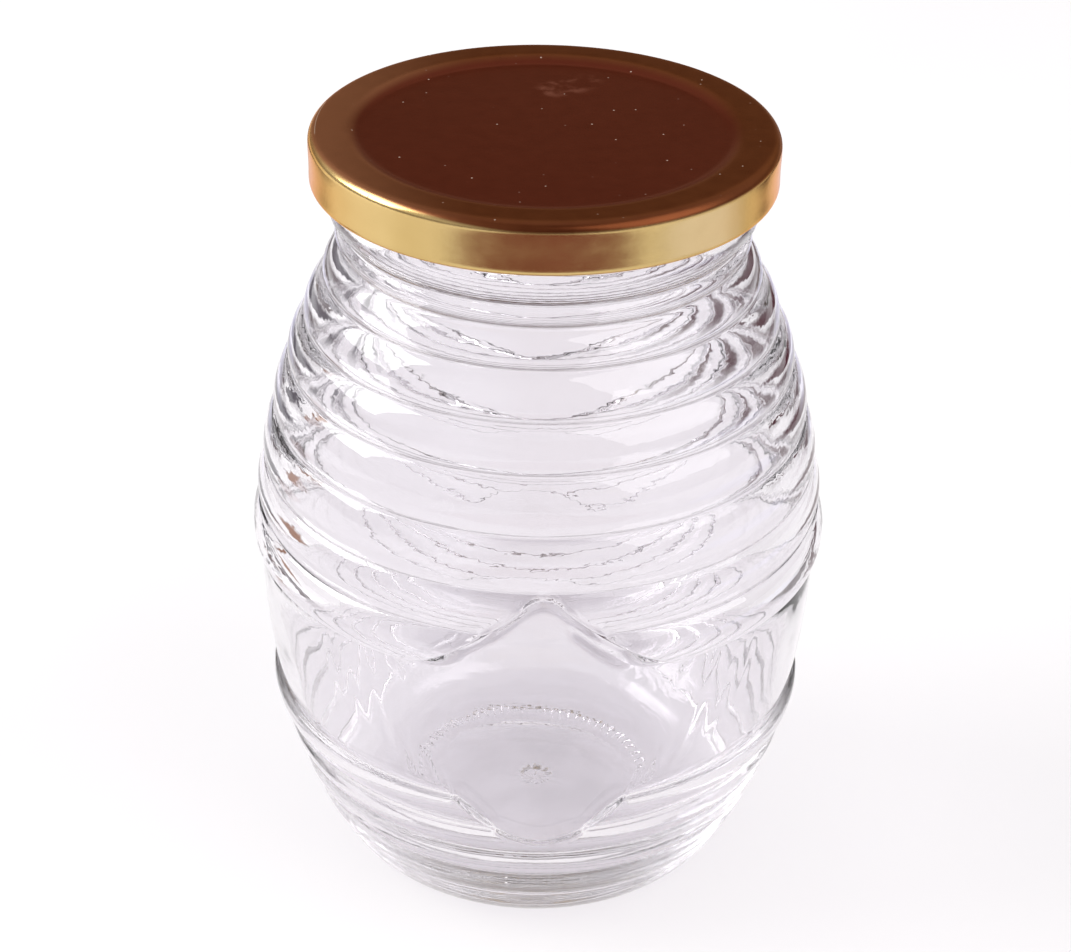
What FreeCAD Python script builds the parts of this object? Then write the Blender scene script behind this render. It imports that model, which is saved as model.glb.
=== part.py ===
import FreeCAD, Part
import math
import os

import Sketcher

# A ringed, barrel-shaped honey jar of clear glass with a shallow twist-off metal lid.
# The jar stands on z = 0 with its axis on Z; the label panel faces -Y and +Y.
# Every size below is a cell of the sheet, in millimetres, and is written only here.
SIZES = (
    ("foot_radius", 30.4, "radius the barrel would have at z = 0 without its heel"),
    ("belly_radius", 43.5, "widest radius, over the ring crests"),
    ("belly_below_edge", 3.5, "widest level, measured down from the label panel's top edge"),
    ("side_wall", 3.3, "glass from the ring crests to the smooth inside"),
    ("groove_depth", 0.9, "from a ring's crest down to the groove beside it"),
    ("heel_height", 8.0, "height of the plain heel under the lowest ring"),
    ("heel_radius", 9.0, "curve of the heel in section"),
    ("heel_run", 7.8, "how far the heel curve reaches inwards"),
    ("heel_lift", 0.3, "rise of the underside where the heel curve starts"),
    ("foot_ring_height", 5.85, "height of each of the narrow rings under the panel"),
    ("panel_height", 23.5, "smooth band between the two sets of rings"),
    ("panel_inset", 1.05, "depth of the smooth band under the ring crests"),
    ("ledge_inset", 0.35, "depth of the ledge that borders the band, under the ring crests"),
    ("shoulder_ring_height", 6.6, "height of the rings next to the belly rings"),
    ("belly_ring_height", 8.1, "height of the two tallest rings"),
    ("top_ring_height", 5.1, "height of the ring under the neck"),
    ("arch_half_width", 20.0, "half width of the pointed arch over the panel"),
    ("arch_rise", 12.4, "height of the arch's tip over the panel's top edge"),
    ("arch_side_bow", 0.8, "hollow of the arch's sides"),
    ("arch_tip_half_width", 3.0, "half width of the rounded tip"),
    ("arch_tip_rise", 1.5, "height of the rounded tip"),
    ("dip_half_width", 12.5, "half width of the dip under the panel"),
    ("dip_depth", 8.4, "depth of the dip's tip under the panel's bottom edge"),
    ("dip_knee_half_width", 6.0, "half width of the dip where its sides end"),
    ("dip_knee_rise", 2.3, "height of that knee over the dip's tip"),
    ("dip_knee_bow", 0.3, "bulge of the dip's lower curves"),
    ("outline_overlap", 0.3, "how far the arch and the dip start inside the band"),
    ("core_margin", 1.4, "how far the band's core runs past the arch and the dip"),
    ("mouth_radius", 26.6, "inside of the neck"),
    ("neck_wall", 2.4, "glass at the neck's narrowest place"),
    ("collar_height", 3.2, "height of the small ring at the foot of the neck"),
    ("collar_depth", 0.9, "how far that ring stands out"),
    ("bead_height", 5.2, "height of the rounded bead under the thread"),
    ("bead_depth", 1.1, "how far that bead stands out"),
    ("neck_height", 7.6, "straight neck that carries the thread, from the bead to the rim"),
    ("finish_wall", 3.7, "glass behind the thread"),
    ("rim_round", 0.8, "rounding of the rim"),
    ("thread_depth", 1.0, "how far the thread stands out"),
    ("thread_half_height", 0.7, "half height of the thread at its root"),
    ("thread_crest_half_height", 0.3, "half height of the thread at its crest"),
    ("thread_drop", 4.1, "from the rim down to the start of a thread"),
    ("thread_pitch", 9.0, "rise of a thread in one whole turn"),
    ("thread_turn", 0.16, "part of a turn that each thread covers"),
    ("base_thickness", 4.2, "glass at the middle of the base"),
    ("floor_radius", 24.0, "flat middle of the floor"),
    ("floor_corner_rise", 7.0, "height of the curve from the floor to the wall"),
    ("push_up", 1.8, "rise of the underside at its middle"),
    ("bearing_radius", 20.5, "middle of the ring that the jar stands on"),
    ("bearing_width", 2.6, "width of that ring"),
    ("notch_width", 0.75, "width of a notch across the bearing ring"),
    ("notch_depth", 0.35, "depth of a notch"),
    ("mark_radius", 2.75, "radius of the mould mark under the base"),
    ("mark_depth", 0.3, "depth of the mould mark"),
    ("lid_sheet", 0.4, "thickness of the lid's metal"),
    ("lid_height", 7.4, "overall height of the lid"),
    ("lid_shoulder", 1.5, "outer rounding between the lid's top and skirt"),
    ("skirt_gap", 1.5, "clearance between thread and skirt"),
    ("recess_depth", 0.8, "depth of the lid's sunk panel"),
    ("recess_step", 1.8, "width of the slope down to that panel"),
    ("recess_gap", 0.5, "clearance between the sunk panel and the mouth"),
    ("hem_radius", 0.75, "rolled edge of the lid in section"),
    ("lug_gap", 0.35, "clearance between a lug and the glass"),
    ("lug_angle", 15.0, "width of a lug, in degrees"),
    ("liner_thickness", 0.5, "sealing ring between the lid and the rim"),
)
FOOT_RINGS = 4
THREADS = 4
NOTCHES = 80


class Size:
    """A length with its number and the sheet expression that gives it."""

    def __init__(self, value, text):
        self.value = value
        self.text = text

    def __add__(self, other):
        other = as_size(other)
        return Size(self.value + other.value, f"({self.text} + {other.text})")

    def __sub__(self, other):
        other = as_size(other)
        return Size(self.value - other.value, f"({self.text} - {other.text})")

    def __mul__(self, other):
        other = as_size(other)
        return Size(self.value * other.value, f"({self.text} * {other.text})")

    def __truediv__(self, other):
        other = as_size(other)
        return Size(self.value / other.value, f"({self.text} / {other.text})")


def as_size(number):
    return number if isinstance(number, Size) else Size(float(number), str(number))


def root(size):
    return Size(math.sqrt(size.value), f"sqrt({size.text})")


def larger(one, other):
    return Size(max(one.value, other.value), f"max({one.text}; {other.text})")


doc = FreeCAD.newDocument("honey_jar")
sheet = doc.addObject("Spreadsheet::Sheet", "sizes")
for row, (alias, number, note) in enumerate(SIZES, start=1):
    sheet.set(f"A{row}", alias)
    sheet.set(f"B{row}", str(number))
    sheet.set(f"C{row}", note)
    sheet.setAlias(f"B{row}", alias)
doc.recompute()


def size(alias):
    return Size(float(sheet.get(alias)), f"sizes.{alias}")


# Levels, from the table up.
panel_bottom = size("heel_height") + size("foot_ring_height") * FOOT_RINGS
panel_top = panel_bottom + size("panel_height")
belly_level = panel_top - size("belly_below_edge")
upper_rings = (
    "shoulder_ring_height", "shoulder_ring_height",
    "belly_ring_height", "belly_ring_height",
    "shoulder_ring_height", "shoulder_ring_height",
    "top_ring_height",
)
shoulder_level = panel_top
for ring_name in upper_rings:
    shoulder_level = shoulder_level + size(ring_name)
collar_level = shoulder_level + size("collar_height")
bead_level = collar_level + size("bead_height")
rim_level = bead_level + size("neck_height")
lid_top = rim_level + size("liner_thickness") + size("lid_sheet")
lid_bottom = lid_top - size("lid_height")
floor_level = size("push_up") + size("base_thickness")

# Radii that follow from the mouth, outwards to the lid.
neck_radius = size("mouth_radius") + size("neck_wall")
finish_radius = size("mouth_radius") + size("finish_wall")
thread_radius = finish_radius + size("thread_depth")
skirt_inside = thread_radius + size("skirt_gap")
lid_radius = skirt_inside + size("lid_sheet")


def arc_radius(rise, run):
    """Radius of the arc that starts along an axis and drifts `run` off it over `rise`."""
    return (rise * rise + run * run) / (run * 2)


# The barrel is two arcs that meet, upright, at the belly.
upper_curve = arc_radius(
    shoulder_level - belly_level, size("belly_radius") - neck_radius - size("groove_depth")
)
lower_curve = arc_radius(belly_level, size("belly_radius") - size("foot_radius"))


def barrel(level, curve, inset):
    """Radius of the barrel at a level, measured `inset` under the ring crests."""
    rise = level - belly_level
    return size("belly_radius") - curve + root(curve * curve - rise * rise) - inset


def chord(start, end):
    run = end[0] - start[0]
    rise = end[1] - start[1]
    return root(run * run + rise * rise)


def bowed(start, end, bow):
    """Radius of the arc between two points that stands `bow` off their chord."""
    half = chord(start, end) / 2
    return (half * half + bow * bow) / (bow * 2)


def new_body(label):
    body = doc.addObject("PartDesign::Body", label)
    body.Label = label
    return body


def origin_plane(body, role):
    return next(item for item in body.Origin.OriginFeatures if item.Role == role)


def new_sketch(body, name, role="XZ_Plane"):
    sketch = body.newObject("Sketcher::SketchObject", name)
    sketch.AttachmentSupport = [(origin_plane(body, role), "")]
    sketch.MapMode = "FlatFace"
    return sketch


def arc_through(start, end, radius, side):
    """Arc from start to end; side 1 bulges to the left of the way from start to end."""
    a = FreeCAD.Vector(start[0].value, start[1].value, 0)
    b = FreeCAD.Vector(end[0].value, end[1].value, 0)
    half = (b - a).Length / 2
    sagitta = radius.value - math.sqrt(radius.value ** 2 - half ** 2)
    left = FreeCAD.Vector(-(b - a).y, (b - a).x, 0).normalize()
    return Part.Arc(a, (a + b) * 0.5 + left * sagitta * side, b)


def hold_point(sketch, edge, end, point):
    """Fixes one end of an edge at its place from the sketch's origin."""
    x, y = point
    if x.value == 0:
        sketch.addConstraint(Sketcher.Constraint("PointOnObject", edge, end, -2))
    else:
        ends = (-1, 1, edge, end) if x.value > 0 else (edge, end, -1, 1)
        index = sketch.addConstraint(Sketcher.Constraint("DistanceX", *ends, abs(x.value)))
        sketch.setExpression(f"Constraints[{index}]", x.text if x.value > 0 else f"-({x.text})")
    if y.value == 0:
        sketch.addConstraint(Sketcher.Constraint("PointOnObject", edge, end, -1))
    else:
        index = sketch.addConstraint(Sketcher.Constraint("DistanceY", -1, 1, edge, end, y.value))
        sketch.setExpression(f"Constraints[{index}]", y.text)


def draw_outline(sketch, start, steps):
    """Closed outline: each step is a point, with a radius and a side where it is an arc."""
    starts = [start] + [step[0] for step in steps]
    ends = starts[1:] + [start]
    shapes = list(steps) + [(start,)]
    for index, (first, last, step) in enumerate(zip(starts, ends, shapes)):
        if len(step) == 1:
            a = FreeCAD.Vector(first[0].value, first[1].value, 0)
            b = FreeCAD.Vector(last[0].value, last[1].value, 0)
            sketch.addGeometry(Part.LineSegment(a, b), False)
        else:
            sketch.addGeometry(arc_through(first, last, step[1], step[2]), False)
    for index, step in enumerate(shapes):
        begin = 1 if len(step) == 1 or step[2] < 0 else 2
        previous = shapes[index - 1]
        previous_end = 2 if len(previous) == 1 or previous[2] < 0 else 1
        before = index - 1 if index else len(shapes) - 1
        sketch.addConstraint(Sketcher.Constraint("Coincident", before, previous_end, index, begin))
        hold_point(sketch, index, begin, starts[index])
        if len(step) > 1:
            held = sketch.addConstraint(Sketcher.Constraint("Radius", index, step[1].value))
            sketch.setExpression(f"Constraints[{held}]", step[1].text)


def revolve(body, sketch, name, kind="PartDesign::Revolution", angle=360.0):
    feature = body.newObject(kind, name)
    feature.Profile = sketch
    feature.ReferenceAxis = (sketch, ["V_Axis"])
    feature.Angle = angle
    sketch.Visibility = False
    return feature


def polar(body, feature, name, count):
    """Repeats a feature evenly round the Z axis of its body."""
    pattern = body.newObject("PartDesign::PolarPattern", name)
    pattern.Originals = [feature]
    pattern.Axis = (origin_plane(body, "Z_Axis"), [""])
    pattern.Angle = 360.0
    pattern.Occurrences = count
    body.Tip = pattern
    return pattern


ZERO = Size(0.0, "0")


def ring_steps(bottom, top, curve, bottom_inset, top_inset):
    """One bulging ring between two levels, as a step of the outline going up."""
    start = (barrel(bottom, curve, bottom_inset), bottom)
    end = (barrel(top, curve, top_inset), top)
    return (end, bowed(start, end, size("groove_depth")), -1)


def jar_outline():
    """Outside of the glass, from the middle of the underside up to the middle of the rim."""
    groove = size("groove_depth")
    ledge = size("ledge_inset")
    inset = size("panel_inset")
    bearing_inner = size("bearing_radius") - size("bearing_width") / 2
    bearing_outer = size("bearing_radius") + size("bearing_width") / 2
    heel_top = (barrel(size("heel_height"), lower_curve, groove), size("heel_height"))
    heel_start = larger(heel_top[0] - size("heel_run"), bearing_outer + size("heel_lift"))
    mark_top = size("push_up") + size("mark_depth")
    underside = ((size("mark_radius"), size("push_up")), (bearing_inner, ZERO))
    steps = [
        ((size("mark_radius"), mark_top),),
        (underside[0],),
        (underside[1], bowed(*underside, size("push_up") / 4), 1),
        ((bearing_outer, ZERO),),
        ((heel_start, size("heel_lift")),),
        (heel_top, size("heel_radius"), -1),
    ]
    level = size("heel_height")
    for number in range(FOOT_RINGS):
        above = level + size("foot_ring_height")
        last = number == FOOT_RINGS - 1
        steps.append(ring_steps(level, above, lower_curve, groove, ledge if last else groove))
        level = above
    steps += [
        ((barrel(panel_bottom, lower_curve, inset), panel_bottom),),
        ((size("belly_radius") - inset, belly_level), lower_curve - inset, -1),
        ((barrel(panel_top, upper_curve, inset), panel_top), upper_curve - inset, -1),
        ((barrel(panel_top, upper_curve, ledge), panel_top),),
    ]
    level = panel_top
    for number, ring_name in enumerate(upper_rings):
        above = level + size(ring_name)
        steps.append(ring_steps(level, above, upper_curve, ledge if number == 0 else groove, groove))
        level = above
    collar_foot = (neck_radius, shoulder_level)
    collar_top = (neck_radius, collar_level)
    bead_top = (finish_radius, bead_level)
    steps += [
        (collar_top, bowed(collar_foot, collar_top, size("collar_depth")), -1),
        (bead_top, bowed(collar_top, bead_top, size("bead_depth")), -1),
        ((finish_radius, rim_level - size("rim_round")),),
        ((finish_radius - size("rim_round"), rim_level), size("rim_round"), -1),
        ((ZERO, rim_level),),
    ]
    return (ZERO, mark_top), steps


def front_outline():
    """The pointed arch and the dip of the label panel, seen from the front."""
    arch_foot = panel_top - size("outline_overlap")
    tip_foot = panel_top + size("arch_rise") - size("arch_tip_rise")
    dip_top = panel_bottom + size("outline_overlap")
    dip_tip = panel_bottom - size("dip_depth")
    knee = dip_tip + size("dip_knee_rise")
    right = {
        "foot": (size("arch_half_width"), arch_foot),
        "tip": (size("arch_tip_half_width"), tip_foot),
        "corner": (size("dip_half_width"), dip_top),
        "knee": (size("dip_knee_half_width"), knee),
    }
    left = {name: (ZERO - x, z) for name, (x, z) in right.items()}
    bottom = (ZERO, dip_tip)
    side = bowed(right["foot"], right["tip"], size("arch_side_bow"))
    tip = bowed(left["tip"], right["tip"], size("arch_tip_rise"))
    curve = bowed(right["knee"], bottom, size("dip_knee_bow"))
    steps = [
        (left["tip"], side, -1),
        (right["tip"], tip, 1),
        (right["foot"], side, -1),
        (right["corner"],),
        (right["knee"],),
        (bottom, curve, 1),
        (left["knee"], curve, 1),
        (left["corner"],),
    ]
    return left["foot"], steps


def core_outline():
    """The smooth core of the barrel, which the arch and the dip lay bare."""
    inset = size("panel_inset")
    low = panel_bottom - size("dip_depth") - size("core_margin")
    high = panel_top + size("arch_rise") + size("core_margin")
    steps = [
        ((barrel(low, lower_curve, inset), low),),
        ((size("belly_radius") - inset, belly_level), lower_curve - inset, -1),
        ((barrel(high, upper_curve, inset), high), upper_curve - inset, -1),
        ((ZERO, high),),
    ]
    return (ZERO, low), steps


def cavity_outline():
    """The smooth inside of the jar, open at the rim."""
    wall = size("side_wall")
    corner_level = floor_level + size("floor_corner_rise")
    corner = (barrel(corner_level, lower_curve, wall), corner_level)
    floor = (size("floor_radius"), floor_level)
    belly = size("belly_radius") - wall
    upper_inside = arc_radius(shoulder_level - belly_level, belly - size("mouth_radius"))
    lip = (size("mouth_radius"), rim_level - size("rim_round"))
    above = rim_level + size("rim_round")
    steps = [
        (floor,),
        (corner, floor_corner(floor, corner), -1),
        ((belly, belly_level), lower_curve - wall, -1),
        ((size("mouth_radius"), shoulder_level), upper_inside, -1),
        (lip,),
        ((size("mouth_radius") + size("rim_round"), rim_level), size("rim_round"), 1),
        ((size("mouth_radius") + size("rim_round"), above),),
        ((ZERO, above),),
    ]
    return (ZERO, floor_level), steps


def floor_corner(floor, corner):
    """Radius of the curve that leaves the floor level and ends at the wall."""
    run = corner[0] - floor[0]
    rise = corner[1] - floor[1]
    return (run * run + rise * rise) / (rise * 2)


def thread_outline():
    """Section of one thread, standing on the neck."""
    middle = rim_level - size("thread_drop")
    root_radius = finish_radius - size("outline_overlap")
    steps = [
        ((thread_radius, middle - size("thread_crest_half_height")),),
        ((thread_radius, middle + size("thread_crest_half_height")),),
        ((root_radius, middle + size("thread_half_height")),),
    ]
    return (root_radius, middle - size("thread_half_height")), steps


def notch_outline():
    """One notch across the bearing ring, seen from below."""
    half = size("notch_width") / 2
    near = size("bearing_radius") - size("bearing_width") / 2 - size("outline_overlap")
    far = size("bearing_radius") + size("bearing_width") / 2 + size("outline_overlap")
    return (near, half), [((far, half),), ((far, ZERO - half),), ((near, ZERO - half),)]


def make_jar():
    body = new_body("jar")
    outside = new_sketch(body, "jar_outside")
    draw_outline(outside, *jar_outline())
    revolve(body, outside, "ringed_barrel")

    front = new_sketch(body, "arch_and_dip")
    draw_outline(front, *front_outline())
    window = body.newObject("PartDesign::Pocket", "window_for_band")
    window.Profile = front
    window.Type = "ThroughAll"
    window.Midplane = True
    front.Visibility = False

    core = new_sketch(body, "band_core")
    draw_outline(core, *core_outline())
    revolve(body, core, "smooth_band")

    inside = new_sketch(body, "jar_inside")
    draw_outline(inside, *cavity_outline())
    revolve(body, inside, "cavity", "PartDesign::Groove")

    section = new_sketch(body, "thread_section")
    draw_outline(section, *thread_outline())
    thread = body.newObject("PartDesign::AdditiveHelix", "thread")
    thread.Profile = section
    thread.ReferenceAxis = (section, ["V_Axis"])
    thread.Mode = "pitch-turns-angle"
    thread.setExpression("Pitch", "sizes.thread_pitch")
    thread.setExpression("Turns", "sizes.thread_turn")
    section.Visibility = False
    polar(body, thread, "threads", THREADS)

    footprint = new_sketch(body, "notch_footprint", "XY_Plane")
    draw_outline(footprint, *notch_outline())
    notch = body.newObject("PartDesign::Pocket", "notch")
    notch.Profile = footprint
    notch.setExpression("Length", "sizes.notch_depth")
    notch.Reversed = True
    footprint.Visibility = False
    polar(body, notch, "notches", NOTCHES)
    return body


def lid_outline():
    """Half section of the lid: sunk panel, land, rounded shoulder, skirt and rolled edge."""
    sheet_gauge = size("lid_sheet")
    shoulder = size("lid_shoulder")
    panel_level = lid_top - size("recess_depth")
    panel_edge = size("mouth_radius") - size("recess_gap")
    land_edge = panel_edge + size("recess_step")
    hem = size("hem_radius")
    hem_level = lid_bottom + hem
    hem_join = hem_level + root(hem * hem - (hem - sheet_gauge) * (hem - sheet_gauge))
    skirt_top = lid_top - shoulder
    steps = [
        ((panel_edge, panel_level),),
        ((land_edge, lid_top),),
        ((lid_radius - shoulder, lid_top),),
        ((lid_radius, skirt_top), shoulder, 1),
        ((lid_radius, hem_level),),
        ((lid_radius - hem, lid_bottom), hem, 1),
        ((lid_radius - hem * 2, hem_level), hem, 1),
        ((skirt_inside, hem_join), hem, 1),
        ((skirt_inside, skirt_top),),
        ((skirt_inside - shoulder + sheet_gauge, lid_top - sheet_gauge), shoulder - sheet_gauge, -1),
        ((land_edge, lid_top - sheet_gauge),),
        ((panel_edge, panel_level - sheet_gauge),),
        ((ZERO, panel_level - sheet_gauge),),
    ]
    return (ZERO, panel_level), steps


def lug_outline():
    """Section of one lug, pressed inwards out of the rolled edge."""
    tip = finish_radius + size("lug_gap")
    back = lid_radius - size("hem_radius")
    low = lid_bottom + size("hem_radius") / 2
    high = rim_level - size("thread_drop") - size("thread_half_height") - size("lug_gap")
    return (tip, low), [((back, low),), ((back, high),), ((tip, high),)]


def make_lid():
    body = new_body("lid")
    section = new_sketch(body, "lid_section")
    draw_outline(section, *lid_outline())
    revolve(body, section, "lid_shell")

    lug_section = new_sketch(body, "lug_section")
    draw_outline(lug_section, *lug_outline())
    lug = revolve(body, lug_section, "lug")
    lug.setExpression("Angle", "sizes.lug_angle")
    polar(body, lug, "lugs", THREADS)
    return body


def make_sealing_ring():
    """Soft ring under the lid's land, pressed on the rim."""
    body = new_body("sealing_ring")
    section = new_sketch(body, "sealing_ring_section")
    inner = size("mouth_radius") - size("recess_gap") + size("recess_step")
    corners = [
        ((finish_radius, rim_level),),
        ((finish_radius, lid_top - size("lid_sheet")),),
        ((inner, lid_top - size("lid_sheet")),),
    ]
    draw_outline(section, (inner, rim_level), corners)
    revolve(body, section, "sealing_ring_band")
    return body


pieces = [make_jar(), make_lid(), make_sealing_ring()]
doc.recompute()

for item in doc.Objects:
    if "Invalid" in item.State or "Error" in item.State:
        raise RuntimeError(f"{item.Name} failed: {item.State}")
os.makedirs("parts", exist_ok=True)
for piece in pieces:
    shape = piece.Shape
    if shape.isNull() or not shape.isValid() or len(shape.Solids) != 1:
        raise RuntimeError(f"{piece.Label} is not one valid solid")
    shape.exportStep(f"parts/{piece.Label}.step")
    print(f"{piece.Label}: {shape.Volume:.0f} mm3")
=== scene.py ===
import math

import bpy
import numpy as np
from mathutils import Matrix, Vector


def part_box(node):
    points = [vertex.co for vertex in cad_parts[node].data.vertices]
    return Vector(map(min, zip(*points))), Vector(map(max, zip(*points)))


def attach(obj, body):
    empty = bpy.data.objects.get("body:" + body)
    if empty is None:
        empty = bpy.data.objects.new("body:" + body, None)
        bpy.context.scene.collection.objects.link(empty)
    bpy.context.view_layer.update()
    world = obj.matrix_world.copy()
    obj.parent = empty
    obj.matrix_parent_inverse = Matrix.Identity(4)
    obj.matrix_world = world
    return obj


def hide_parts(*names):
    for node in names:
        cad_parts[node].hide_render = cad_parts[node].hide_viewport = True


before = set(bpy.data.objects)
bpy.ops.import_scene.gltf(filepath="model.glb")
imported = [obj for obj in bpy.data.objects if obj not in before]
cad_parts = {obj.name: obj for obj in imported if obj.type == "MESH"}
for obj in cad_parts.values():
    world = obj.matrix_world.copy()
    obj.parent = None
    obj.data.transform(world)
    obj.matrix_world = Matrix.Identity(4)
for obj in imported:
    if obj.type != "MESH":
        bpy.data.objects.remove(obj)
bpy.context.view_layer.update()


# ---- Jar ----------------------------------------------------------------------------------
# A pressed and blown honey jar of clear soda-lime glass, shaped like a woven beehive.
# Bulging rings circle it below and above a plain band; the band reaches up into a
# pointed arch and down into a dip, on the front and on the back.

MM = 0.001
BELLY_RADIUS = 43.5
BELLY_LEVEL = 51.4
SHOULDER_LEVEL = 102.6
RIM_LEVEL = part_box("jar")[1].z / MM
LOWER_RINGS = (8.0, 13.85, 19.7, 25.55, 31.4)
UPPER_RINGS = (54.9, 61.5, 68.1, 76.2, 84.3, 90.9, 97.5, 102.6)
RING_BULGE = 0.9
GROOVE_DEPTH = 0.9
NOTCH_DEPTH = 0.3
NOTCH_WIDTH = 0.2
LEDGE_DEPTH = 0.35
BAND_DEPTH = 1.05
WALL = 3.3
MOUTH_RADIUS = 26.6


def arc_radius(rise, run):
    return (rise * rise + run * run) / (2 * run)


def arc_points(start, end, bow, count):
    """Points along an arc from start to end that stands bow off its chord, to the right."""
    (x0, z0), (x1, z1) = start, end
    half = math.hypot(x1 - x0, z1 - z0) / 2
    radius = (half * half + bow * bow) / (2 * bow)
    across = ((z1 - z0) / (2 * half), -(x1 - x0) / (2 * half))
    points = []
    for t in np.linspace(-1, 1, count):
        rise = math.sqrt(radius * radius - (t * half) ** 2) - (radius - bow)
        points.append((
            (x0 + x1) / 2 + (x1 - x0) / 2 * t + across[0] * rise,
            (z0 + z1) / 2 + (z1 - z0) / 2 * t + across[1] * rise,
        ))
    return points


UPPER_CURVE = arc_radius(SHOULDER_LEVEL - BELLY_LEVEL, 13.6)
LOWER_CURVE = arc_radius(BELLY_LEVEL, 13.1)


def barrel(level):
    """Radius over the ring crests."""
    curve = np.where(level > BELLY_LEVEL, UPPER_CURVE, LOWER_CURVE)
    return BELLY_RADIUS - curve + np.sqrt(curve ** 2 - (level - BELLY_LEVEL) ** 2)


def smooth(low, high, value):
    t = np.clip((value - low) / (high - low), 0, 1)
    return t * t * (3 - 2 * t)


def soften(values, step, width):
    """Rounds the corners of a sampled section, as fire polishing does."""
    reach = int(3 * width / step)
    weight = np.exp(-0.5 * (np.arange(-reach, reach + 1) * step / width) ** 2)
    padded = np.pad(values, reach, mode="edge")
    return np.convolve(padded, weight / weight.sum(), mode="valid")


NECK_STRETCHES = (
    (102.6, 29.0, 105.8, 29.0, 0.9),
    (105.8, 29.0, 111.0, 30.3, 1.1),
    (111.0, 30.3, 130.0, 30.3, 0.0),
)


def ring_section():
    """Radius of the glass at each level from the heel to the thread, all round.

    A stretch of the neck is its lower level and radius, its upper ones, and how far it bulges.
    """
    step = 0.05
    level = np.arange(LOWER_RINGS[0], RIM_LEVEL - 0.8 + step, step)
    radius = barrel(level) - BAND_DEPTH
    for rings, ledge_at in ((LOWER_RINGS, LOWER_RINGS[-1]), (UPPER_RINGS, UPPER_RINGS[0])):
        for low, high in zip(rings, rings[1:]):
            inset_low = LEDGE_DEPTH if low == ledge_at else GROOVE_DEPTH
            inset_high = LEDGE_DEPTH if high == ledge_at else GROOVE_DEPTH
            here = (level >= low) & (level <= high)
            t = (level[here] - low) / (high - low)
            chord = (barrel(low) - inset_low) * (1 - t) + (barrel(high) - inset_high) * t
            radius[here] = chord + RING_BULGE * 4 * t * (1 - t)
        for groove in rings:
            radius = radius - NOTCH_DEPTH * np.exp(-((level - groove) / NOTCH_WIDTH) ** 2)
    for low, radius_low, high, radius_high, bulge in NECK_STRETCHES:
        here = (level > low) & (level <= high)
        t = (level[here] - low) / (high - low)
        radius[here] = radius_low * (1 - t) + radius_high * t + bulge * 4 * t * (1 - t)
    return level, soften(radius, step, 0.08)


SECTION_LEVEL, SECTION_RADIUS = ring_section()


ARCH_LEVEL = 65.8
ARCH_HALF_WIDTH = 20.0
TIP_HALF_WIDTH = 3.0
TIP_RISE = 1.5
DIP_LEVEL = 23.0
DIP_HALF_WIDTH = 6.0


def arch_level(x):
    """Upper edge of the band at a distance from its middle line."""
    t = np.clip((x - TIP_HALF_WIDTH) / (ARCH_HALF_WIDTH - TIP_HALF_WIDTH), 0, 1)
    side = ARCH_LEVEL - 11.2 * t - 0.96 * 4 * t * (1 - t)
    tip = ARCH_LEVEL + TIP_RISE * (1 - (x / TIP_HALF_WIDTH) ** 2)
    return np.where(x < TIP_HALF_WIDTH, tip, side) - np.maximum(x - ARCH_HALF_WIDTH, 0) * 0.5


def dip_level(x):
    """Lower edge of the band at a distance from its middle line."""
    t = np.clip(x / DIP_HALF_WIDTH, 0, 1)
    bottom = DIP_LEVEL + 2.3 * t - 0.32 * 4 * t * (1 - t)
    return np.where(x < DIP_HALF_WIDTH, bottom, DIP_LEVEL + 2.3 + (x - DIP_HALF_WIDTH) * 6.4 / 6.5)


def into_window(across, level):
    """How far a point lies inside the edge of the arch or the dip."""
    x = np.abs(across)
    into_arch = (arch_level(x) - level) * 0.83
    into_dip = (level - dip_level(x)) * np.where(x < DIP_HALF_WIDTH, 0.93, 0.71)
    return np.where(level > BELLY_LEVEL, into_arch, into_dip)


def edge_of_window(level):
    """Half width of the window at a level, run on above and below it for the mesh."""
    x = np.linspace(0.5, 20, 160)
    arch = [(float(arch_level(v)), v) for v in x]
    dip = [(float(dip_level(v)), v) for v in x[x < 12.5]]
    below = [(0.0, 16.0), (8.0, 12.0), (19.7, 4.5)]
    above = [(71.0, 4.0), (84.0, 14.0), (103.0, 22.0)]
    path = below + dip + arch[::-1] + above
    return max(2.4, float(np.interp(level, [p[0] for p in path], [p[1] for p in path])))


THREAD_START = RIM_LEVEL - 4.1
THREAD_LEAD = 9.0


def thread(angle, level):
    """How far the four threads stand out."""
    out = np.zeros_like(angle + level)
    for quarter in range(4):
        turn = np.mod(angle / (2 * math.pi) - quarter / 4, 1.0)
        off = np.abs(level - (THREAD_START + THREAD_LEAD * turn))
        ends = smooth(-0.002, 0.006, turn) * (1 - smooth(0.154, 0.162, turn))
        out = np.maximum(out, ends * (1 - smooth(0.25, 0.75, off)))
    return out


def swell(angle, level, seed):
    """Slow unevenness of blown glass, from -1 to 1."""
    draw = np.random.default_rng(seed)
    total = np.zeros_like(angle + level)
    for _ in range(9):
        around = draw.integers(1, 7)
        along = draw.uniform(-0.22, 0.22)
        total = total + np.sin(around * angle + along * level + draw.uniform(0, 6.28))
    return total / 9 * 1.6


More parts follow.
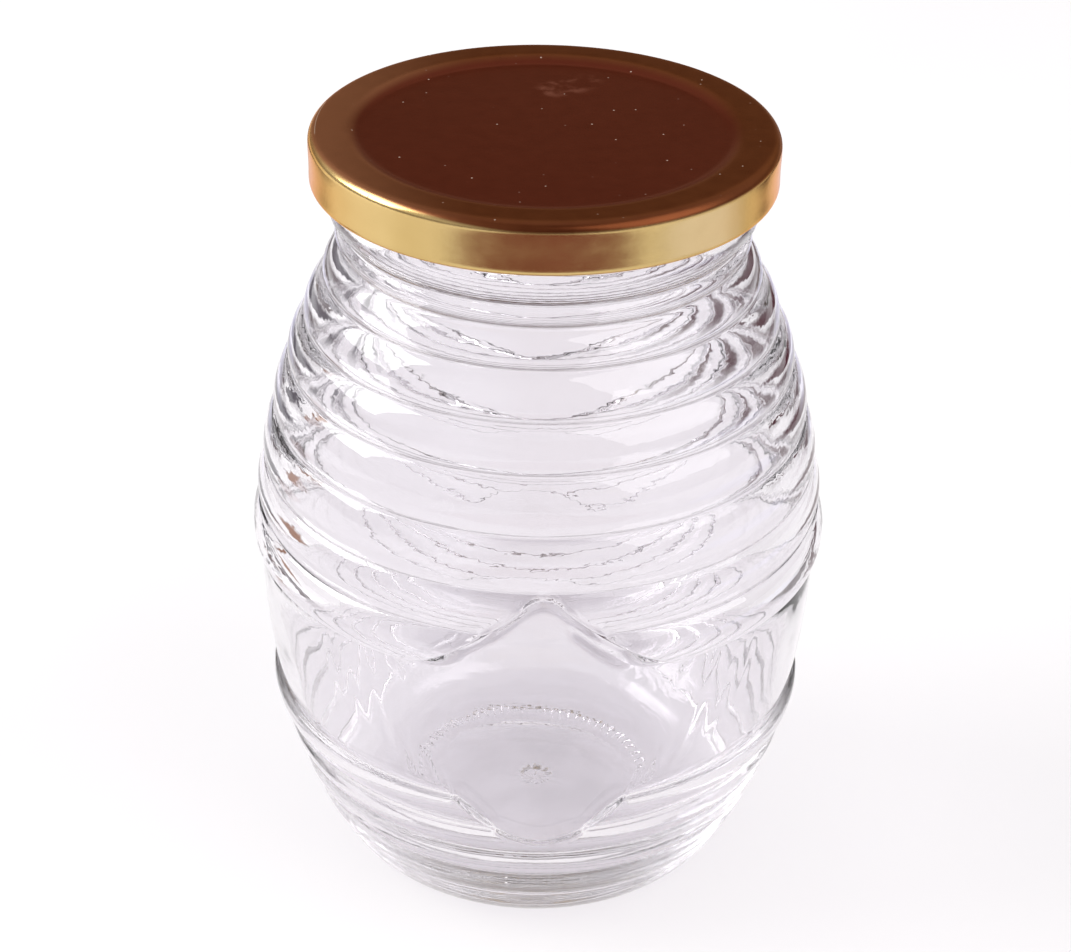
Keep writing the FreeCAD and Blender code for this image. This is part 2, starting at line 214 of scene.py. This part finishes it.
def outside(angle, level):
    """Radius of the glass at an angle from +X and a level.

    The band is let in behind the ring crests. Along its edge run a gutter inside and a bead
    outside, and on the right of each arch a shallow fold where the glass was slow to flow.
    """
    radius = np.interp(level, SECTION_LEVEL, SECTION_RADIUS)
    shell = barrel(np.minimum(level, SHOULDER_LEVEL))
    inwards = into_window(shell * np.cos(angle), level)
    high = level > BELLY_LEVEL
    opening = np.where(high, smooth(-0.25, 0.25, inwards), smooth(-0.16, 0.16, inwards))
    across = np.abs(shell * np.cos(angle))
    arched = smooth(UPPER_RINGS[0] + 0.3, UPPER_RINGS[0] + 1.5, level)
    strong = 1 - smooth(6.0, 9.0, across)
    strong = strong + smooth(11.0, 13.0, across) * (1 - smooth(18.6, 19.6, across)) * 0.8
    gutter = np.exp(-((inwards - 0.6) / 0.48) ** 2) * (0.25 + 1.15 * strong) * arched
    rightwards = shell * np.cos(angle) * np.where(np.sin(angle) < 0, 1, -1)
    fold = 0.5 * np.exp(-((inwards - 1.9) / 0.75) ** 2)
    fold = fold * smooth(3.0, 5.0, rightwards) * (1 - smooth(9.0, 14.0, rightwards))
    bead = np.exp(-((inwards + 0.4) / 0.26) ** 2) * (0.25 + 0.3 * arched)
    bead = np.minimum(bead, np.maximum(shell - 0.05 - radius, 0))
    shallow = 0.45 * (1 - smooth(1.0, 10.0, across)) * (1 - smooth(24.0, 36.0, level))
    band = shell - BAND_DEPTH * (1 - shallow) - gutter - fold * arched
    radius = radius + bead
    radius = np.where(level < SHOULDER_LEVEL, radius * (1 - opening) + band * opening, radius)
    radius = radius + thread(angle, level)
    return radius - 0.04 * (1 + swell(angle, level, 3)) * (level < RIM_LEVEL - 9)


def inside(angle, level):
    """Radius of the smooth inside, which follows the rings faintly."""
    curve = np.where(level > BELLY_LEVEL, UPPER_CURVE, LOWER_CURVE)
    capped = np.minimum(level, SHOULDER_LEVEL)
    radius = BELLY_RADIUS - WALL - curve + np.sqrt(curve ** 2 - (capped - BELLY_LEVEL) ** 2)
    rings = np.interp(level, SECTION_LEVEL, SECTION_RADIUS) - barrel(capped) + 0.4
    fade = smooth(13, 20, level) * (1 - smooth(92, 102, level))
    return radius + fade * (0.22 * rings + 0.22 * swell(angle, level, 11))


def ring_rows(low, high, shares):
    return [low + (high - low) * share for share in shares]


SIDE_SHARES = (0, 0.03, 0.09, 0.21, 0.38, 0.6, 0.79, 0.91, 0.97)
COLUMNS = 352
EVEN = np.arange(COLUMNS) / COLUMNS * 2 * math.pi
EDGE_STEPS = (-1.8, -1.5, -1.22, -0.96, -0.72, -0.5, -0.3, -0.15, 0.0, 0.15, 0.3, 0.5, 0.75, 1.0)
MOULD_MARK = (
    (0.4, 0.10, 0.3),
    (0.9, 0.18, 0.8),
    (1.4, 0.06, 1.4),
    (1.9, 0.15, 1.4),
    (2.3, 0.26, 1.0),
    (2.7, 0.02, 0.4),
)
KNURL_COUNT = 88
KNURL = ((19.15, 0.0), (19.4, 0.3), (19.8, 0.4), (20.3, 0.4), (20.7, 0.36), (21.0, 0.1), (21.5, 0.0))
HEEL_RADIUS = 9.0
HEEL_HALF_CHORD = 5.48
BASE_RECESS = 1.8
BASE_TOP = 6.22
BLEND_ROWS = 30


def fitted_angles(level):
    """Angles of one row's points, crowded where the edge of the arch or the dip crosses it."""
    radius = float(barrel(level))
    edge = math.asin(edge_of_window(level) / radius)
    cut = np.array(EDGE_STEPS) / radius
    inner = np.linspace(0, edge + cut[0], 18)[:-1]
    outer = edge + cut[-1] + (math.pi / 2 - edge - cut[-1]) * np.linspace(0, 1, 59)[1:] ** 1.25
    quarter = np.concatenate([inner, edge + cut, outer])
    rising = math.pi / 2 - quarter[:0:-1]
    falling = math.pi / 2 + quarter[:-1]
    return np.concatenate([rising, falling, math.pi + rising, math.pi + falling])


def jar_grid():
    """The rows of the glass, from under the base, up the outside and down the inside."""
    even = EVEN
    notch = 0.5 + 0.5 * np.cos(KNURL_COUNT * even + 0.3 * np.sin(5 * even))
    rows = []

    def add(radius, level, angle=even):
        rows.append(np.stack([radius * np.cos(angle), radius * np.sin(angle), level + 0 * angle], 1))

    for radius, depth, rough in MOULD_MARK:
        ragged = np.sin(11 * even + radius * 5) + np.sin(7 * even - radius * 9)
        ragged = ragged + np.sin(17 * even + radius * 3)
        add(radius, BASE_RECESS + depth + 0.035 * rough * ragged)
    for radius, level in arc_points((19.2, 0.0), (2.75, BASE_RECESS), 0.45, 9)[::-1][1:-1]:
        add(radius, level)
    for radius, depth in KNURL:
        add(radius, depth * notch)
    heel_bow = HEEL_RADIUS - math.sqrt(HEEL_RADIUS ** 2 - HEEL_HALF_CHORD ** 2)
    heel = arc_points((25.64, 0.3), (33.44, 8.0), heel_bow, 14)
    under = [(22.4, 0.05), (23.6, 0.14), (24.8, 0.22)] + heel[:-1]
    for index, (radius, level) in enumerate(under):
        share = smooth(0, BLEND_ROWS, index)
        add(radius, level, even * (1 - share) + fitted_angles(8.0) * share)
    side = ring_rows(8.0, 13.85, SIDE_SHARES) + ring_rows(13.85, 19.7, SIDE_SHARES)
    side += list(np.arange(19.7, 22.6, 0.45)) + list(np.arange(22.7, 23.7, 0.22))
    side += list(np.arange(23.8, 31.1, 0.42)) + [31.1, 31.3, 31.5, 31.75]
    side += list(np.linspace(34.0, 52.5, 6)) + [54.5, 54.8, 55.0, 55.25]
    side += list(np.arange(55.6, 61.2, 0.41)) + [61.3, 61.5, 61.7] + list(np.arange(62.1, 65.2, 0.41))
    side += list(np.arange(65.45, 68.1, 0.26))
    for low, high in zip(UPPER_RINGS[2:], UPPER_RINGS[3:]):
        side += ring_rows(low, high, SIDE_SHARES)
    for level in side:
        share = float(smooth(0, BLEND_ROWS, 17 + level - 8) * (1 - smooth(70, 102, level)))
        angle = even * (1 - share) + fitted_angles(level) * share
        add(outside(angle, level), level, angle)
    neck = [102.6, 103.0, 103.6, 104.3, 105.0, 105.5, 105.8, 106.2, 107.0, 108.0, 109.2, 110.2]
    neck += [110.8, 111.2, 112.0]
    neck += list(np.linspace(113.2, 117.6, 11))
    for level in neck:
        add(outside(even, level), level)
    rim = [(30.28, 117.9), (30.06, 118.36), (29.5, 118.6), (28.9, 118.6)]
    rim += [(28.0, 118.6), (27.4, 118.6), (26.84, 118.36), (MOUTH_RADIUS, 117.8)]
    for radius, level in rim:
        add(radius, level)
    for level in (116.0, 112.0, 107.5, 104.5, 102.6):
        add(MOUTH_RADIUS, level)
    for level in np.linspace(100.6, 14.6, 22):
        add(inside(even, level), level)
    start = float(inside(even[:1], 13.0)[0])
    corner = arc_points((24.0, 6.0), (start, 13.0), 1.65, 49)
    for radius, level in corner[:18:-3] + corner[18::-1]:
        add(radius, level - 0.9 * math.exp(-((radius - 26.5) / 0.7) ** 2))
    floor = [(23.6, 5.82), (22.8, 5.78), (21.6, 5.86), (19.0, 5.98), (14.0, 6.1), (8.0, 6.18)]
    for radius, level in floor + [(3.0, BASE_TOP)]:
        add(radius, level)
    return rows


def lathe(name, rows, bottom=None, top=None):
    """A mesh of rings of points joined by faces, closed by a point at each end if given."""
    count = len(rows[0])
    points = [tuple(p) for row in rows for p in row]
    faces = []
    for row in range(len(rows) - 1):
        low, high = row * count, (row + 1) * count
        for column in range(count):
            after = (column + 1) % count
            faces.append((low + column, low + after, high + after, high + column))
    for end, row, flip in ((bottom, 0, True), (top, len(rows) - 1, False)):
        if end is not None:
            points.append(end)
            tip = len(points) - 1
            for column in range(count):
                pair = (row * count + column, row * count + (column + 1) % count)
                faces.append((tip, pair[1], pair[0]) if flip else (pair[0], pair[1], tip))
    mesh = bpy.data.meshes.new(name)
    mesh.from_pydata([(x * MM, y * MM, z * MM) for x, y, z in points], [], faces)
    mesh.validate()
    mesh.polygons.foreach_set("use_smooth", [True] * len(mesh.polygons))
    mesh.update()
    piece = bpy.data.objects.new(name, mesh)
    bpy.context.scene.collection.objects.link(piece)
    return piece


class Wire:
    """A socket of a material. Sums, products and the like add Math nodes."""

    def __init__(self, tree, socket=None):
        self.tree = tree
        self.socket = socket

    def node(self, kind, settings=None, inputs=None, output=0):
        made = self.tree.nodes.new(kind)
        for name, value in (settings or {}).items():
            setattr(made, name, value)
        for name, value in (inputs or {}).items():
            target = made.inputs[name]
            if isinstance(value, Wire):
                self.tree.links.new(value.socket, target)
            else:
                target.default_value = value
        return Wire(self.tree, made.outputs[output] if made.outputs else None)

    def math(self, operation, *values):
        return self.node("ShaderNodeMath", {"operation": operation}, dict(enumerate(values)))

    def __add__(self, other):
        return self.math("ADD", self, other)

    def __sub__(self, other):
        return self.math("SUBTRACT", self, other)

    def __rsub__(self, other):
        return self.math("SUBTRACT", other, self)

    def __mul__(self, other):
        return self.math("MULTIPLY", self, other)

    def __truediv__(self, other):
        return self.math("DIVIDE", self, other)

    def __pow__(self, other):
        return self.math("POWER", self, other)

    __radd__ = __add__
    __rmul__ = __mul__

    def between(self, low, high, start=0.0, end=1.0):
        """Moves smoothly from start to end while the value goes from low to high."""
        inputs = {0: self, 1: low, 2: high, 3: start, 4: end}
        return self.node("ShaderNodeMapRange", {"interpolation_type": "SMOOTHSTEP"}, inputs)

    def mix(self, first, second):
        """Colour that goes from first to second with this value."""
        return self.node("ShaderNodeMix", {"data_type": "RGBA"}, {0: self, 6: first, 7: second}, 2)

    def axes(self):
        """The x, y and z parts of a vector."""
        return [self.node("ShaderNodeSeparateXYZ", None, {0: self}, axis) for axis in range(3)]


def new_material(name):
    material = bpy.data.materials.new(name)
    material.use_nodes = True
    material.node_tree.nodes.clear()
    return material, Wire(material.node_tree)


def grain(start, scale, detail=2.0, roughness=0.5, stretch=(1, 1, 1), seed=0.0):
    """Cloudy noise in the piece's own space; scale is in waves per metre."""
    place = start.node("ShaderNodeTexCoord", None, None, 3)
    place = start.node("ShaderNodeMapping", None, {0: place, 1: (seed, seed * 0.7, seed * 1.3), 3: stretch})
    inputs = {"Vector": place, "Scale": scale, "Detail": detail, "Roughness": roughness}
    return start.node("ShaderNodeTexNoise", None, inputs)


def clear_glass():
    """Clear glass with a faint lilac cast, fire-polished, a little uneven; the middle of the base is tinted
    darker as painted shade.
    """
    material, start = new_material("clear_glass")
    place = start.node("ShaderNodeTexCoord", None, None, 3)
    x, y, height = place.axes()
    base = (x * x + y * y).between(0.00004, 0.00038, 1.0, 0.0)
    cloud = grain(start, 95, 1.0)
    # Painted shade: the middle of the base is tinted darker and mottled, for the shadowed floor seen through
    # it.
    shaded_disc = base * cloud.between(0.35, 0.65, 0.3, 1.0)
    tint = shaded_disc.mix((0.905, 0.888, 0.912, 1), (0.76, 0.742, 0.765, 1))
    peel = grain(start, 620, 2.0, roughness=0.6, stretch=(0.45, 0.45, 1.0), seed=4)
    uneven = cloud + peel * height.between(0.04, 0.075, 0.05, 0.32)
    bump = start.node("ShaderNodeBump", None, {"Strength": 0.25, "Distance": 0.00035, "Height": uneven})
    glass = start.node("ShaderNodeBsdfPrincipled", None, {
        "Base Color": tint, "Roughness": 0.0, "IOR": 1.5,
        "Transmission Weight": 1.0, "Normal": bump,
    })
    shadow_ray = start.node("ShaderNodeLightPath", None, None, 1)
    diffuse_ray = start.node("ShaderNodeLightPath", None, None, 2)
    dim = start.math("MAXIMUM", shadow_ray, diffuse_ray)
    pale = start.node("ShaderNodeBsdfTransparent", None, {"Color": (0.93, 0.925, 0.935, 1)})
    surface = start.node("ShaderNodeMixShader", None, {0: dim, 1: glass, 2: pale})
    start.node("ShaderNodeOutputMaterial", None, {"Surface": surface})
    return material


jar = lathe("jar_glass", jar_grid(), bottom=(0, 0, 1.92), top=(0, 0, BASE_TOP))
jar.data.materials.append(clear_glass())
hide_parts("jar")
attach(jar, "root")


# ---- Lid ----------------------------------------------------------------------------------
# A shallow twist-off lid pressed from one sheet of tinplate, its edge curled and
# pressed in at four lugs. Lacquered gold, with a painted reflection of dark red-brown surroundings over the
# top.

LID_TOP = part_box("lid")[1].z / MM
LID_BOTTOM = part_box("lid")[0].z / MM
LID_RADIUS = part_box("lid")[1].x / MM
SHOULDER_ROUND = 1.5
CURL_ROUND = 0.75
INNER_RADIUS = 32.8
UNDER_TOP = 119.1
PANEL_SINK = 0.8
LUG_DEGREES = 15.0


def on_round(centre_radius, centre_level, size, degrees):
    """A point on a round of the section, at an angle over level."""
    way = math.radians(degrees)
    return (centre_radius + size * math.cos(way), centre_level + size * math.sin(way))


def lid_section():
    """Section of the lid's sheet: over the top, down the skirt, round the curl, back inside."""
    out = [(radius, LID_TOP - PANEL_SINK) for radius in (2.0, 8.0, 14.0, 20.0, 24.0, 25.4)]
    step = ((25.9, 0.77), (26.3, 0.66), (26.75, 0.47), (27.2, 0.27), (27.6, 0.12), (28.0, 0.035))
    land = ((28.5, 0), (29.6, 0), (30.7, 0), (31.3, 0.005))
    out += [(radius, LID_TOP - drop) for radius, drop in step + land]
    for degrees in np.linspace(90, 0, 12)[1:]:
        out.append(on_round(LID_RADIUS - SHOULDER_ROUND, LID_TOP - SHOULDER_ROUND, SHOULDER_ROUND, degrees))
    skirt = ((117.0, 0), (116.0, 0.02), (115.0, 0.04), (114.0, 0.03), (113.2, 0))
    out += [(LID_RADIUS - waist, level) for level, waist in skirt]
    for degrees in np.linspace(0, -180, 13):
        out.append(on_round(LID_RADIUS - CURL_ROUND, LID_BOTTOM + CURL_ROUND, CURL_ROUND, degrees))
    out += [(31.78, 113.25), (32.0, 113.48), (32.4, 113.52)]
    out += [(INNER_RADIUS, level) for level in (113.62, 114.4, 116.0, 118.0)]
    for degrees in np.linspace(0, 90, 7)[1:]:
        out.append(on_round(INNER_RADIUS - 1.1, UNDER_TOP - 1.1, 1.1, degrees))
    out += [(30.0, UNDER_TOP), (28.3, UNDER_TOP), (27.6, 118.92), (26.75, 118.6), (26.1, 118.34)]
    out += [(radius, LID_TOP - PANEL_SINK - 0.4) for radius in (25.0, 16.0, 6.0)]
    return out


def lid_grid():
    count = 320
    angle = np.arange(count) / count * 2 * math.pi
    turn = np.degrees(np.mod(angle, math.pi / 2))
    lug = smooth(-1.0, 1.5, turn) * (1 - smooth(LUG_DEGREES - 1.5, LUG_DEGREES + 1.0, turn))
    rows = []
    for radius, level in lid_section():
        at_curl = 112.4 < level < 113.6 and radius < 32.3
        pressed = radius - (lug * max(0.0, radius - 30.66) * 0.98 if at_curl else 0)
        rows.append(np.stack([pressed * np.cos(angle), pressed * np.sin(angle), level + 0 * angle], 1))
    return rows


def lid_lacquer():
    """Gold lacquer with dust; over the top a painted dark red-brown reflection that gives way to gold at the
    rounded edge.
    """
    material, start = new_material("lid_lacquer")
    place = start.node("ShaderNodeTexCoord", None, None, 3)
    x, y, z = place.axes()
    radius = (x * x + y * y) ** 0.5
    cloud = grain(start, 24, 3.0)
    fine = grain(start, 420, 4.0, seed=2)
    facing = start.node("ShaderNodeTexCoord", None, None, 1).axes()[2]
    # Painted highlight: towards the left the brown stops short of the edge, so the shoulder shows gold where
    # the left window's highlight falls.
    highlight_lean = start.math("MAXIMUM", start.math("MINIMUM", (x + 0.008) * 30.0, 0.1), -0.42)
    # Where the painted dark red-brown reflection covers the top; gold lies outside it.
    top = (facing + highlight_lean + (cloud - 0.5) * 0.1).between(0.15, 0.5) * z.between(0.1170, 0.1176)
    # The step ring and the land take a warmer, lighter brown of the same painted reflection.
    land = radius.between(0.0262, 0.0282)
    brown = (cloud * 0.6 + fine * 0.4).mix((0.085, 0.0115, 0.005, 1), (0.125, 0.021, 0.009, 1))
    warm = (cloud * 0.5 + fine * 0.5).mix((0.10, 0.025, 0.009, 1), (0.17, 0.052, 0.018, 1))
    brown = land.mix(brown, warm)
    # Painted light: the left of the land is lighter, as if lit by the left window.
    lit_left_land = land * x.between(-0.034, -0.008, 1.0, 0.0)
    brown = lit_left_land.mix(brown, (0.32, 0.135, 0.065, 1))
    streak = grain(start, 60, 3.0, stretch=(1, 1, 0.15), seed=6).between(0.3, 0.7)
    gold = (streak * 0.7 + fine * 0.3).mix((0.54, 0.375, 0.14, 1), (0.69, 0.51, 0.225, 1))
    colour = top.mix(gold, brown)
    flat = {"voronoi_dimensions": "2D"}
    speck = start.node("ShaderNodeTexVoronoi", flat, {"Vector": place, "Scale": 300.0}, 0)
    chance = start.node("ShaderNodeTexVoronoi", flat, {"Vector": place, "Scale": 300.0}, 1)
    chance = start.node("ShaderNodeSeparateColor", None, {0: chance}, 0)
    dust = (speck - chance * 0.04).between(-0.03, 0.02, 1.0, 0.0)
    dust = dust * chance.between(0.78, 0.97) * z.between(0.118, 0.1182)
    smudge_x = (x - 0.0035) / 0.0062
    smudge_y = (y - 0.0155 - x * 0.45) / 0.0045
    smudge = (smudge_x * smudge_x + smudge_y * smudge_y).between(0.1, 1.0, 1.0, 0.0)
    smudge = smudge * fine.between(0.42, 0.66)
    # A thin pale arc painted along the left of the rounded edge.
    pale_arc = start.math("ABSOLUTE", radius - 0.0321 - y * y * 3.0).between(0.00003, 0.00008, 1.0, 0.0)
    pale_arc = pale_arc * y.between(-0.004, -0.003) * y.between(0.008, 0.009, 1.0, 0.0)
    pale_arc = pale_arc * x.between(-0.02, -0.019, 1.0, 0.0)
    colour = (smudge * 0.5).mix(colour, (0.30, 0.12, 0.08, 1))
    colour = (pale_arc * 0.7).mix(colour, (0.8, 0.66, 0.5, 1))
    colour = (dust * 0.7).mix(colour, (0.75, 0.62, 0.52, 1))
    rough = top * 0.10 + 0.20 + (fine - 0.5) * 0.10 + dust * 0.4 + smudge * 0.15
    relief = fine + cloud * 2 + dust
    bump = start.node("ShaderNodeBump", None, {"Strength": 0.12, "Distance": 0.0002, "Height": relief})
    metal = 0.95 - top * 0.25 + land * top * 0.12 - dust * 0.6
    surface = start.node("ShaderNodeBsdfPrincipled", None, {
        "Base Color": colour, "Metallic": metal, "Roughness": rough, "IOR": 1.45,
        "Specular IOR Level": 0.3, "Specular Tint": (1.0, 0.62, 0.42, 1), "Normal": bump,
    })
    start.node("ShaderNodeOutputMaterial", None, {"Surface": surface})
    return material


lid_under = (0, 0, LID_TOP - PANEL_SINK - 0.4)
lid = lathe("twist_off_lid", lid_grid()[::-1], bottom=lid_under, top=(0, 0, LID_TOP - PANEL_SINK))
lid.data.materials.append(lid_lacquer())
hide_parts("lid")
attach(lid, "root")


# ---- Sealing ring --------------------------------------------------------------------------
# A soft ring of pale compound, flowed into the lid's edge and pressed on the glass rim.
# It is hidden under the lid and shows only through the glass of the neck.


def sealing_compound():
    material, start = new_material("sealing_compound")
    tone = grain(start, 500, 3.0).mix((0.66, 0.63, 0.58, 1), (0.76, 0.74, 0.69, 1))
    pores = grain(start, 900, 2.0)
    bump = start.node("ShaderNodeBump", None, {"Strength": 0.2, "Distance": 0.0001, "Height": pores})
    inputs = {"Base Color": tone, "Roughness": 0.55, "Normal": bump}
    surface = start.node("ShaderNodeBsdfPrincipled", None, inputs)
    start.node("ShaderNodeOutputMaterial", None, {"Surface": surface})
    return material


def sealing_grid():
    angle = np.arange(160) / 160 * 2 * math.pi
    section = [(28.0, 118.75), (28.2, 118.64), (28.6, 118.6), (29.6, 118.6), (30.05, 118.62)]
    section += [(30.25, 118.72), (30.28, 118.95), (30.1, 119.07), (29.4, 119.1), (28.4, 119.1)]
    section += [(28.05, 119.05), (27.95, 118.9), (28.0, 118.75)]
    return [np.stack([r * np.cos(angle), r * np.sin(angle), z + 0 * angle], 1) for r, z in section]


sealing = lathe("sealing_ring_pressed", sealing_grid())
sealing.data.materials.append(sealing_compound())
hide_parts("sealing_ring")
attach(sealing, "root")


# ---- Floor, light and camera -----------------------------------------------------------------
# A plain pale sheet under the jar, a small bright window on the left and a wide, dimmer
# one on the right. Coloured cards lie round it for the lid and the glass to mirror.


def pale_floor():
    bpy.ops.mesh.primitive_grid_add(x_subdivisions=8, y_subdivisions=8, size=10.0)
    floor = bpy.context.object
    floor.name = "floor"
    material, start = new_material("pale_floor")
    tone = grain(start, 7, 1.0).mix((0.86, 0.86, 0.87, 1), (0.89, 0.89, 0.89, 1))
    inputs = {"Base Color": tone, "Roughness": 0.8, "Specular IOR Level": 0.1}
    surface = start.node("ShaderNodeBsdfPrincipled", None, inputs)
    start.node("ShaderNodeOutputMaterial", None, {"Surface": surface})
    floor.data.materials.append(material)
    return floor


def softbox(name, place, width, height, power):
    lamp = bpy.data.lights.new(name, "AREA")
    lamp.shape = "RECTANGLE"
    lamp.size, lamp.size_y = width, height
    lamp.energy = power
    light = bpy.data.objects.new(name, lamp)
    light.location = place
    light.rotation_euler = (Vector((0, 0, 0.06)) - Vector(place)).to_track_quat("-Z", "Y").to_euler()
    bpy.context.scene.collection.objects.link(light)
    return light


def soft_sky():
    world = bpy.data.worlds.new("studio")
    bpy.context.scene.world = world
    world.use_nodes = True
    world.node_tree.nodes.clear()
    world.cycles.sampling_method = "NONE"
    start = Wire(world.node_tree)
    x, y, z = start.node("ShaderNodeTexCoord", None, None, 0).axes()
    behind = y.between(0.76, 0.88) * z.between(0.2, 0.3) * z.between(0.48, 0.6, 1.0, 0.0)
    ahead = y.between(-0.15, 0.1, 1.0, 0.0) * x.between(-0.45, -0.1) * x.between(0.5, 0.8, 1.0, 0.0)
    tone = z.between(0.05, 0.36).mix((0.26, 0.225, 0.235, 1), (0.74, 0.74, 0.76, 1))
    tone = behind.mix(tone, (0.14, 0.095, 0.075, 1))
    tone = (ahead * 0.9).mix(tone, (0.17, 0.085, 0.06, 1))
    light = start.node("ShaderNodeBackground", None, {"Color": tone, "Strength": 1.0})
    start.node("ShaderNodeOutputWorld", None, {"Surface": light})


def card(name, place, turned, width, height, colour, through, edging=0.05):
    """A coloured card on the floor. Only reflections see it, and views through glass if asked."""
    mesh = bpy.data.meshes.new(name)
    corners = [(side * width / 2, end * height / 2, 0) for side, end in ((-1, -1), (1, -1), (1, 1), (-1, 1))]
    mesh.from_pydata(corners, [], [(0, 1, 2, 3)])
    made = bpy.data.objects.new(name, mesh)
    made.location = place
    made.rotation_euler = turned
    bpy.context.scene.collection.objects.link(made)
    material, start = new_material(name)
    darker = tuple(c * 0.8 for c in colour) + (1,)
    lighter = tuple(c * 1.2 for c in colour) + (1,)
    tone = grain(start, 9, 2.0).mix(darker, lighter)
    across, along, _ = start.node("ShaderNodeTexCoord", None, None, 3).axes()
    for way, size in ((across, width), (along, height)):
        edge = (way * way) ** 0.5
        tone = edge.between(size / 2 - edging, size / 2).mix(tone, (0.85, 0.84, 0.85, 1))
    surface = start.node("ShaderNodeEmission", None, {"Color": tone, "Strength": 1.0})
    start.node("ShaderNodeOutputMaterial", None, {"Surface": surface})
    mesh.materials.append(material)
    material.cycles.emission_sampling = "NONE"
    made.visible_camera = False
    made.visible_diffuse = False
    made.visible_shadow = False
    made.visible_transmission = through
    return made


pale_floor()
soft_sky()
card("warm_card", (0, -0.65, 0.002), (0, 0, 0), 0.42, 0.96, (0.25, 0.072, 0.078), False)
card("lilac_card", (0.29, -0.05, 0.002), (0, 0, 0), 0.22, 0.26, (1.1, 1.13, 1.5), False)
card("lilac_left", (-0.16, 0.24, 0.005), (0, 0, 0.5), 0.16, 0.2, (1.1, 1.08, 1.3), False)
card("lilac_right", (0.16, 0.24, 0.005), (0, 0, -0.5), 0.16, 0.2, (1.1, 1.08, 1.3), False)
card("copper_card", (-0.17, 0.06, 0.003), (0, 0, 0.2), 0.07, 0.05, (0.35, 0.16, 0.09), True, 0.01)
card("grey_card", (-0.23, 0.33, 0.003), (0, 0, 0.3), 0.28, 0.36, (0.13, 0.12, 0.14), True)
card("maroon_card", (0.24, 0.34, 0.003), (0, 0, -0.3), 0.34, 0.42, (0.075, 0.012, 0.022), True)
softbox("window_left", (-1.5, 0.1, 1.05), 1.15, 1.15, 25)
softbox("window_right", (1.7, -1.0, 1.7), 2.4, 2.4, 42)

camera = bpy.data.objects.new("camera", bpy.data.cameras.new("camera"))
camera.data.sensor_width = 36
camera.data.lens = 76.74
camera.data.clip_start = 0.01
eye = Vector((-0.0073, -0.2987, 0.2421))
forward = (Vector((-0.0005, 0.0, 0.0623)) - eye).normalized()
level_right = forward.cross(Vector((0, 0, 1))).normalized()
level_up = level_right.cross(forward)
tilt = 0.0175
right = level_right * math.cos(tilt) + level_up * math.sin(tilt)
up = right.cross(forward)
turn = Matrix((right, up, -forward)).transposed().to_4x4()
camera.matrix_world = Matrix.Translation(eye) @ turn
bpy.context.scene.collection.objects.link(camera)
bpy.context.scene.camera = camera

scene = bpy.context.scene
scene.view_settings.view_transform = "Standard"
scene.cycles.use_light_tree = False
scene.cycles.light_sampling_threshold = 0.03
scene.cycles.max_bounces = 15
scene.cycles.transmission_bounces = 14
scene.cycles.glossy_bounces = 12
scene.cycles.transparent_max_bounces = 12
